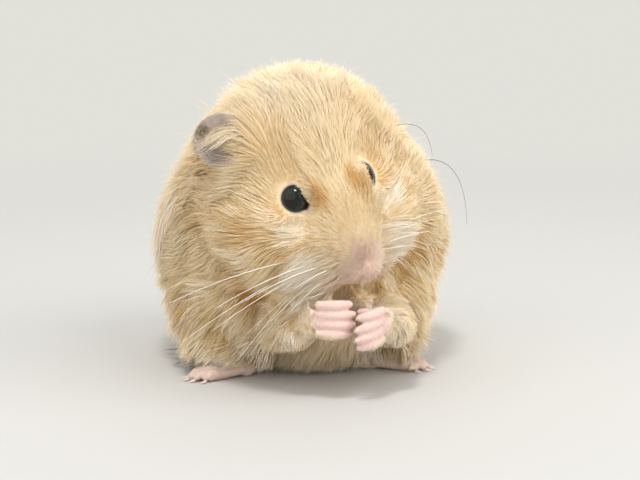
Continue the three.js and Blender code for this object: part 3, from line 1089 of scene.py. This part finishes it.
# tufts as one mesh: each is a tapered three-sided rod with a closed root and a point
tuftTaper = {2: [0.85, 0.8], 3: [0.75, 1.0, 0.7]}


def tuftFaces(rings):
    faces = [(2, 1, 0)]
    for r in range(rings - 1):
        for i in range(3):
            j = (i + 1) % 3
            faces += [(3 * r + i, 3 * r + j, 3 * r + 3 + j), (3 * r + i, 3 * r + 3 + j, 3 * r + 3 + i)]
    last = 3 * (rings - 1)
    return np.array(faces + [(last + i, last + (i + 1) % 3, last + 3) for i in range(3)])


def tuftMesh(name, curves, normals, widths, marks):
    count, rings = len(curves), curves.shape[1] - 1
    step = unit(np.gradient(curves, axis=1))
    across = unit(np.cross(step, normals[:, None, :]))
    above = np.cross(across, step)
    half = widths[:, None, None] * np.array(tuftTaper[rings])[None, :, None] / 2
    body = curves[:, :rings]
    left = body - half * across[:, :rings]
    right = body + half * across[:, :rings]
    top = body + 0.8 * half * above[:, :rings]
    points = np.stack([left, top, right], 2).reshape(count, rings * 3, 3)
    points = np.concatenate([points, curves[:, rings:]], 1)
    points[:, :, 2] = np.maximum(points[:, :, 2], 0.12)  # nothing goes into the floor
    each = rings * 3 + 1
    faces = (tuftFaces(rings)[None] + (np.arange(count) * each)[:, None, None]).reshape(-1, 3)
    mesh = bpy.data.meshes.new(name)
    mesh.vertices.add(count * each)
    mesh.vertices.foreach_set("co", (points.reshape(-1) * mm).astype(np.float32))
    mesh.loops.add(len(faces) * 3)
    mesh.loops.foreach_set("vertex_index", faces.ravel().astype(np.int32))
    mesh.polygons.add(len(faces))
    mesh.polygons.foreach_set("loop_start", np.arange(0, len(faces) * 3, 3, dtype=np.int32))
    mesh.update(calc_edges=True)
    mesh.polygons.foreach_set("use_smooth", np.ones(len(faces), bool))
    ring = np.repeat(np.arange(rings + 1), 3)[:each] / rings
    roots = curves[:, 0] + 0.25 * normals
    giveAttribute(mesh, "marks", np.repeat(marks, each, axis=0))
    edge = unwrap["patch"] / 2
    sideways = np.append(np.tile([-edge, 0, edge], rings), 0)
    upwards = np.append(np.tile([0, -0.3 * edge, 0], rings), 0) + (2 * ring - 1) * edge * 0.8
    patch = patchAt(roots)[:, None, :] + np.stack([sideways, upwards], 1)[None]
    flat = mesh.uv_layers.new(name="OFBake")
    flat.data.foreach_set("uv", patch.reshape(-1, 2)[faces.ravel()].ravel().astype(np.float32))
    facing = np.zeros((count, each, 3))
    corners = np.stack([-across[:, :rings], above[:, :rings], across[:, :rings]], 2)
    facing[:, :-1] = corners.reshape(count, -1, 3)
    facing[:, -1] = above[:, -1]
    soft = unit(0.3 * facing + 0.7 * normals[:, None, :])
    mesh.normals_split_custom_set_from_vertices(soft.reshape(-1, 3))
    return mesh


# coats: each is a layer of tufts with its own place and habit
def furShare(points):
    bare = bareAt(points).max(1)
    return (1 - bare) * (0.15 + 0.85 * ramp(points[:, 2], 0.5, 4))


def isHead(points):
    return 1 - ramp(noseDistance(points), 32, 42)


def acrossEar(points, normals):
    # from the head's side over the middle of the ear
    flow = headSide(points) * headAxes[0] + 0.35 * headAxes[1] - 0.25 * headAxes[2]
    return flattened(flow, normals)


def overEar(points, normals):
    # straight out from the head, so that the hair passes in front of the ear
    return unit(headSide(points) * headAxes[0] - 0.12 * headAxes[1] - 0.1 * headAxes[2] + 0 * normals)


earInnerSide = (-5.6, 1.2, -0.6)  # from the ear's middle in the head's axes
browHair = {"wide": 0.65, "from": (0.3, 0.6), "to": (1.6, 3.2), "forwards": 0.3}
pads = {"middle": (7.8, -13.0, -7.6), "size": (4.6, 4.2, 4.0), "fades": (0.4, 1.5)}


def besideEar(points, wide):
    # on the head's side of each ear
    near = distanceTo(points, besideEars(earInnerSide))
    return (1 - ramp(near, 0.5 * wide, wide)) * furShare(points)


def onBrow(points):
    # between each eye and the bridge, close to the eye's rim
    turn = np.where(toHead(points)[:, 0] > 0, overEye("left", points)[2], overEye("right", points)[2])
    away = rimDistance(points)
    byBrow = np.exp(-(((turn - browTurn) / browHair["wide"]) ** 2))
    return byBrow * ramp(away, *browHair["from"]) * (1 - ramp(away, *browHair["to"]))


def overBrow(points, normals):
    # upright from the rim, as the eye looks
    axes = np.where(toHead(points)[:, :1] > 0, eyeAxes["left"], eyeAxes["right"])
    return flattened(axes + browHair["forwards"] * unit(points - noseAt), normals)


def onPads(points):
    # the whisker pads at both sides of the muzzle
    away = np.linalg.norm((toHalfHead(points) - vec(*pads["middle"])) / vec(*pads["size"]), axis=1)
    return (1 - ramp(away, *pads["fades"])) * furShare(points)


def sweptBack(points, normals):
    # outwards, down and back from the pads
    return flattened(0.75 * headSide(points) * headAxes[0] + 0.5 * headAxes[1] - 0.75 * headAxes[2], normals)


def onPaws(points):
    # the forepaws' backs and fingers
    bare = bareAt(points)[:, 0] * ramp(noseDistance(points), 5, 7)
    return bare * ramp(points[:, 2], 1.5, 3) * (points[:, 1] < 20)


coats = {
    "body_coat": {
        "count": 56000, "steps": 2, "width": 0.165, "longer": 1.06, "raise": 0, "each": 16, "pull": 0.36,
        "grows": lambda p: furShare(p) * (1 - isHead(p)),
    },
    "head_coat": {
        "count": 61000, "steps": 2, "width": 0.135, "longer": 1.06, "raise": 0, "each": 10, "pull": 0.28,
        "grows": lambda p: furShare(p) * isHead(p) * (1 + 3.5 * (1 - ramp(noseDistance(p), 4, 22))),
    },
    "guard_hair": {
        "count": 12000, "steps": 2, "width": 0.09, "longer": 1.2, "raise": 9, "each": 5, "pull": 0.2,
        "grows": lambda p: furShare(p) * ramp(noseDistance(p), 16, 34), "pale": True, "loose": 0.32,
    },
    "nose_down": {
        "count": 4200, "steps": 2, "width": 0.085, "length": (0.9, 2.1), "stand": 42, "each": 3, "pull": 0.2,
        "grows": lambda p: 1 - ramp(noseDistance(p), 3.5, 6.5), "pale": True,
    },
    "brow_hair": {
        "count": 2000, "steps": 2, "width": 0.11, "length": (1.5, 2.6), "stand": 42, "each": 6, "pull": 0.3,
        "grows": onBrow, "lies": overBrow, "even": True, "over": -0.02,
    },
    "pad_hair": {
        "count": 3400, "steps": 3, "width": 0.14, "length": (3.5, 8.0), "stand": 27, "each": 14, "pull": 0.55,
        "grows": onPads, "lies": sweptBack, "pale": True,
    },
    "ear_down": {
        "count": 2600, "steps": 2, "width": 0.045, "length": (0.8, 1.8), "stand": 10, "each": 3, "pull": 0.2,
        "grows": lambda p: bareAt(p)[:, 1], "lies": acrossEar, "pale": True,
    },
    "ear_fringe": {
        "count": 1200, "steps": 3, "width": 0.11, "length": (3.5, 8.0), "stand": 24, "each": 8, "pull": 0.4,
        "grows": lambda p: besideEar(p, 5.6), "lies": acrossEar, "pale": True,
    },
    "ear_tuft": {
        "count": 800, "steps": 3, "width": 0.1, "length": (7.0, 12.5), "stand": 16, "each": 7, "pull": 0.3,
        "grows": lambda p: besideEar(p, 3.6), "lies": overEar, "pale": True, "loose": 0.3,
    },
    "paw_down": {
        "count": 3200, "steps": 2, "width": 0.06, "length": (0.5, 0.9), "stand": 16, "each": 3, "pull": 0.2,
        "grows": onPaws, "pale": True,
    },
}
mostFaces = 195000  # in one piece


def sampled(points, faces, density, count):
    # even random places on a mesh and the normals there
    triangles = halved(faces)
    a, b, c = (points[triangles[:, i]] for i in range(3))
    area = np.linalg.norm(np.cross(b - a, c - a), axis=1) / 2
    perPoint = density(points)
    total = np.cumsum(area * perPoint[triangles].mean(1))
    picks = (np.arange(count) + dice.random(count)) / count * total[-1]
    face = np.minimum(np.searchsorted(total, picks), len(triangles) - 1)
    u, v = dice.random((2, count))
    over = u + v > 1
    u[over], v[over] = 1 - u[over], 1 - v[over]
    share = np.stack([1 - u - v, u, v], 1)[:, :, None]
    corners = triangles[face]
    return (points[corners] * share).sum(1), unit((skinNormals[corners] * share).sum(1))


def addPiece(name, mesh, finish):
    mesh.materials.append(finish)
    piece = objectOf(name, mesh)
    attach(piece, "root")
    return piece


# how far tufts differ from each other
varied = {
    "turn": 0.07,
    "loose": 0.12,
    "over": -0.12,  # millimetres that a tuft may reach over an eye's rim
    "stand": (0.7, 1.2),
    "length": (0.65, 1.3),
    "lengths": (0.5, 14),  # millimetres, the shortest and the longest
    "pull": (0.5, 1.3),
    "width": (0.7, 1.25),
    "streakOf": 70,  # tufts
    "streakMarks": 0.17,
    "shade": (0.75, 0.7, 0.65),  # a tuft's own, its bunch's and its streak's
}
# how much less they differ, or how much finer they are, in the even coat
evener = {"turn": 0.4, "loose": 0.5, "pull": 0.8, "width": 0.28, "shade": 0.7}


def growCoat(name, habit):
    count, steps = habit["count"], habit["steps"]
    points, normals = sampled(skinPoints, skinQuads, habit["grows"], count)
    fromNose = noseDistance(points)
    velvet = np.ones(count) if habit.get("even") else velvetShare(points)
    lie = habit.get("lies", lieAt)(points, normals)
    lie = turned(lie, normals, dice.normal(0, varied["turn"], count) * (1 - evener["turn"] * velvet))
    if "length" in habit:
        stand = np.full(count, math.radians(habit["stand"]))
        length = dice.uniform(*habit["length"], count)
    else:
        stand = standAt(points, normals) + math.radians(habit["raise"])
        length = habit["longer"] * lengthAt(points, stand) * (1 + mane["longer"] * maneShare(points))
    loose = habit.get("loose", varied["loose"]) * (1 - evener["loose"] * velvet)
    least, most = varied["stand"]
    stand = stand * np.clip(1 + dice.normal(0, 1, count) * loose, least, most + loose)
    length = length * np.clip(dice.normal(1, 0.1, count), *varied["length"])
    length = np.clip(length, *varied["lengths"])
    room = np.maximum(points[:, 2] - 0.3, 0.8) / np.maximum(-lie[:, 2], 0.15)  # before a tuft meets the floor
    length = np.minimum(length, 1.1 * room)
    curves = hairLine(points, normals, lie, stand, length, steps)
    leaders = leadersOf(points, habit["each"])
    pull = habit["pull"] * dice.uniform(*varied["pull"], count) * (1 - evener["pull"] * velvet)
    curves = gathered(curves, leaders, pull)
    widths = habit["width"] * (0.62 + 0.38 * ramp(fromNose, 5, 24)) * dice.uniform(*varied["width"], count)
    if "length" not in habit:
        widths *= 1 - evener["width"] * velvet * ramp(fromNose, 12, 22)
    streak = dice.normal(0, 1, count)[leadersOf(points, varied["streakOf"])]
    streak = streak * (1 - velvet) * ramp(fromNose, 4, 12)
    own, bunched, streaked = varied["shade"]
    shade = own * dice.normal(0, 1, count) + bunched * dice.normal(0, 1, count)[leaders] - streaked * streak
    shade *= 1 - evener["shade"] * velvet
    marks = marksAt(points)
    marks[:, 0] = np.clip(marks[:, 0] + varied["streakMarks"] * streak, 0, 1)
    marks[:, 1] = np.clip(marks[:, 1] - varied["streakMarks"] * streak, 0, 1)
    overFloor = (curves[:, -1, 2] > 0.2) | (normals[:, 2] < -0.6)
    clear = clearOfEyes(curves, habit.get("over", varied["over"])) & overFloor
    keep = dice.permutation(np.flatnonzero(clear))
    faces = len(keep) * len(tuftFaces(steps))
    bunches = np.array_split(keep, -(-faces // mostFaces))
    for i, bunch in enumerate(bunches):
        title = f"{name}_{i + 1}"
        mesh = tuftMesh(title, curves[bunch], normals[bunch], widths[bunch], marks[bunch])
        ring = np.repeat(np.arange(steps + 1), 3)[: 3 * steps + 1] / steps
        even = np.maximum(velvet, 0.35 * isHead(points))[bunch][:, None]
        giveAttribute(mesh, "along", (ring * (1 - even) + (0.5 + 0.33 * ring) * even).ravel())
        giveAttribute(mesh, "shade", np.repeat(shade[bunch], 3 * steps + 1))
        addPiece(title, mesh, guardMaterial if habit.get("pale") else coatMaterial)
    print(name, len(keep), "tufts in", len(bunches), "pieces")


for name, habit in coats.items():
    growCoat(name, habit)


# eyes: a glossy ball in each socket, with a dark rim drawn to a point at its inner corner
rimThick = 0.2


def addEye(side):
    ball = bmesh.new()
    bmesh.ops.create_icosphere(ball, subdivisions=6, radius=eyeRadius)
    mesh = bpy.data.meshes.new("eyeball_" + side)
    ball.to_mesh(mesh)
    ball.free()
    points = np.empty(len(mesh.vertices) * 3)
    mesh.vertices.foreach_get("co", points)
    points = points.reshape(-1, 3)
    away = np.arccos(np.clip(unit(points) @ eyeAxes[side], -1, 1)) / (math.pi / 2)
    mesh.vertices.foreach_set("co", ((points + eyeAt[side]) * mm).ravel())
    giveAttribute(mesh, "along", np.clip(away, 0, 1))
    piece = addPiece("eyeball_" + side, smoothed(mesh), eyeMaterial)
    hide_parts("eye_" + side)


def addLid(side):
    turn = np.linspace(-math.pi, math.pi, 64, endpoint=False)
    line = aroundEye(side, turn, lidEdge(turn), eyeRadius + 0.06)
    points, faces = ringShape(line, rimThick, eyeAxes[side])
    mesh = smoothed(meshOf("eyelid_" + side, points * mm, faces))
    addPiece("eyelid_" + side, mesh, lidMaterial)


def ringShape(line, thick, axis, around=10):
    # a closed tube along a closed line
    along = unit(np.roll(line, -1, axis=0) - np.roll(line, 1, axis=0))
    out = unit(np.cross(along, axis))
    angles = np.linspace(0, 2 * math.pi, around, endpoint=False)
    rings = [line + thick * (math.cos(a) * out + 0.75 * math.sin(a) * axis) for a in angles]
    return np.stack(rings, 1).reshape(-1, 3), closedRings(len(line), around)


for side in sides:
    addEye(side)
    addLid(side)
print("eyes")

# whiskers and single long hairs
whiskers = {
    "rows": 4,
    "each": 4,
    "thick": (0.14, 0.04),  # at the root and the tip
    "length": {"left": (9, 20), "right": (12, 31)},  # of the foremost and the hindmost in a row
    "uneven": (0.85, 1.12),
    "shorter": 0.25,  # in the lowest row
    "astray": 0.07,
    "sag": 0.22,  # for each millimetre of its length
    "inSkin": 0.8,
    # in the head's axes: the top row's foremost one, what the lowest row adds and what the hindmost adds
    "root": (vec(5.0, -14.6, -6.6), vec(-0.6, 0, -3.8), vec(1.7, 3.6, 0)),
    "aim": (vec(1.0, -0.1, 0.1), vec(-0.15, -0.35, -1.05), vec(0, 0.1, 0)),
}


def strand(start, bend, end, thick, thin, count=12):
    line = curveThrough(start, bend, end, count)
    return tubeShape(line, np.linspace(thick, thin, count), around=5)


def addStrands(name, shapes, finish):
    points, faces = joined(shapes)
    addPiece(name, smoothed(meshOf(name, points * mm, faces)), finish)
    print(name, len(shapes))


def whiskerShapes(side):
    s = sides[side]
    shapes = []
    for row in range(whiskers["rows"]):
        for i in range(whiskers["each"]):
            down, back = row / (whiskers["rows"] - 1), i / (whiskers["each"] - 1)
            root, aim = ((first + down * lowest + back * hindmost) * vec(s, 1, 1)
                         for first, lowest, hindmost in (whiskers["root"], whiskers["aim"]))
            root = fromHead(*root)
            length = np.interp(back, (0, 1), whiskers["length"][side])
            length *= dice.uniform(*whiskers["uneven"]) * (1 - whiskers["shorter"] * down)
            out = fromHead(*aim) - browAt
            out = unit(out + dice.normal(0, whiskers["astray"], 3))
            sag = vec(0, 0, -whiskers["sag"] * length)
            middle = root + out * length * 0.5 - 0.35 * sag
            end = root + out * length + sag + 0.2 * length * headAxes[1]
            shapes.append(strand(root - whiskers["inSkin"] * out, middle, end, *whiskers["thick"]))
    return shapes


def keptAboveFloor(shapes):
    return [(np.maximum(points, vec(-999, -999, 0.1)), faces) for points, faces in shapes]


for side in sides:
    addStrands("whiskers_" + side, keptAboveFloor(whiskerShapes(side)), whiskerMaterial)


# a few long single hairs: pale ones on the right shoulder, dark ones on the left flank
# a place is x from the trunk's own side, y, and z as a share of the trunk's height
paleHair = {
    "count": 9,
    "start": (vec(7, -10, 0.62), vec(0.5, 1.4, 0.018)),  # the first one's, and what each next one adds
    "end": (vec(-1.5, -14, 0.38), vec(0, 1.6, 0)),
    "bow": vec(-4.5, -1.5, 3),
    "astray": ((-0.5, 0.8), (-4, 3)),  # its end, sideways and upwards
    "thick": (0.09, 0.03),
}
darkHair = [
    # start, bend, end, how thick at the root and the tip
    ((-16, -2, 0.78), (-7, -4, 0.84), (-6, -5, 0.69), (0.07, 0.03)),
    ((-12, -4, 0.66), (1.5, -6, 0.74), (1.5, -8, 0.46), (0.08, 0.03)),
]


def besideTrunk(side, place):
    x, y, share = place
    low, high = boxOf("trunk")
    return vec((high if side == "left" else low)[0] + x, y, high[2] * share)


def paleShapes():
    shapes = []
    for i in range(paleHair["count"]):
        start, end = (besideTrunk("right", first + i * more)
                      for first, more in (paleHair["start"], paleHair["end"]))
        sideways, upwards = (dice.uniform(*reach) for reach in paleHair["astray"])
        end = end + vec(sideways, 0, upwards)
        shapes.append(strand(start, (start + end) / 2 + paleHair["bow"], end, *paleHair["thick"]))
    return shapes


def darkShapes():
    return [strand(*(besideTrunk("left", place) for place in line), *thick) for *line, thick in darkHair]


addStrands("long_pale_hairs", paleShapes(), whiskerMaterial)
addStrands("long_dark_hairs", darkShapes(), darkHairMaterial)

# claws keep their own solids
for name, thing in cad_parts.items():
    if "_claw_" in name:
        thing.data.materials.clear()
        thing.data.materials.append(clawMaterial)
print("claws")


# camera
cameraSettings = {"turn": -12, "rise": 9, "distance": 320, "lens": 79.2, "target": (2.2, -2.9, 27.6)}


def placeCamera(turn, rise, distance, lens, target):
    a, e = math.radians(turn), math.radians(rise)
    back = Vector((math.sin(a) * math.cos(e), -math.cos(a) * math.cos(e), math.sin(e)))
    data = bpy.data.cameras.new("camera")
    data.lens = lens
    data.sensor_width = 36
    data.clip_start = 0.01
    camera = bpy.data.objects.new("camera", data)
    camera.location = (Vector(target) + back * distance) * mm
    camera.rotation_euler = back.to_track_quat("Z", "Y").to_euler()
    bpy.context.scene.collection.objects.link(camera)
    bpy.context.scene.camera = camera


placeCamera(**cameraSettings)

# floor, backdrop and soft studio light
studio = {
    "ambient": 0.55,
    "wall": (0.76, 0.75, 0.70),
    "floor": (0.59, 0.58, 0.55),
    "floorRadius": 1.5,
    "fade": (0.10, 0.55),  # where the floor starts and ends to turn into the wall's colour
    "lamps": {
        # where it stands, how wide it is, strength
        "key": ((0.62, -0.55, 0.52), 1.2, 6.7),
        "fill": ((-0.7, -0.5, 0.35), 1.4, 3.8),
        "back": ((0.15, 0.9, 0.6), 1.4, 3.2),
        "sparkle": ((-0.112, -0.256, 0.751), 0.16, 2.6),
    },
}


def addLamp(name, place, width, energy):
    lamp = bpy.data.lights.new(name, "AREA")
    lamp.shape = "DISK"
    lamp.size = width
    lamp.energy = energy
    stand = bpy.data.objects.new(name, lamp)
    stand.location = place
    stand.rotation_euler = (Vector(place) - Vector((0, 0, 0.03))).to_track_quat("Z", "Y").to_euler()
    bpy.context.scene.collection.objects.link(stand)


def backdropRays(tree):
    # rays that see the backdrop itself and not its light
    rays = node(tree, "ShaderNodeLightPath").outputs
    seen = calculated(tree, "MAXIMUM", rays["Is Camera Ray"], rays["Is Transmission Ray"])
    return calculated(tree, "MAXIMUM", seen, rays["Is Glossy Ray"])


def addFloor():
    # a wide disc whose colour turns into the wall's further out
    angles = np.linspace(0, 2 * math.pi, 96, endpoint=False)
    points = studio["floorRadius"] * np.stack([np.cos(angles), np.sin(angles), 0 * angles], 1)
    mesh = bpy.data.meshes.new("floor")
    mesh.from_pydata(points.tolist(), [], [list(range(96))])
    floor = objectOf("floor", mesh)
    made, tree, shader = material("floor", studio["floor"], 0.85)
    far = node(tree, "ShaderNodeVectorMath", operation="LENGTH")
    plug(tree, node(tree, "ShaderNodeNewGeometry").outputs["Position"], far.inputs[0])
    fade = node(tree, "ShaderNodeMapRange", interpolation_type="SMOOTHSTEP")
    fade.inputs["From Min"].default_value, fade.inputs["From Max"].default_value = studio["fade"]
    plug(tree, far.outputs["Value"], fade.inputs["Value"])
    glow = node(tree, "ShaderNodeEmission")
    plug(tree, studio["wall"], glow.inputs["Color"])
    both = node(tree, "ShaderNodeMixShader")
    plug(tree, calculated(tree, "MULTIPLY", fade.outputs[0], backdropRays(tree)), both.inputs[0])
    plug(tree, shader.outputs[0], both.inputs[1])
    plug(tree, glow.outputs[0], both.inputs[2])
    plug(tree, both.outputs[0], tree.nodes["Material Output"].inputs["Surface"])
    mesh.materials.append(made)


def addWorld():
    world = bpy.data.worlds.new("world")
    world.use_nodes = True
    tree = world.node_tree
    background = tree.nodes["Background"]
    shown = backdropRays(tree)
    grey = (studio["ambient"],) * 3
    plug(tree, mixed(tree, shown, grey, studio["wall"]), background.inputs["Color"])
    bpy.context.scene.world = world


for name, (place, width, energy) in studio["lamps"].items():
    addLamp(name, place, width, energy)
addFloor()
addWorld()
bpy.context.scene.view_settings.view_transform = "Standard"
print("stage")
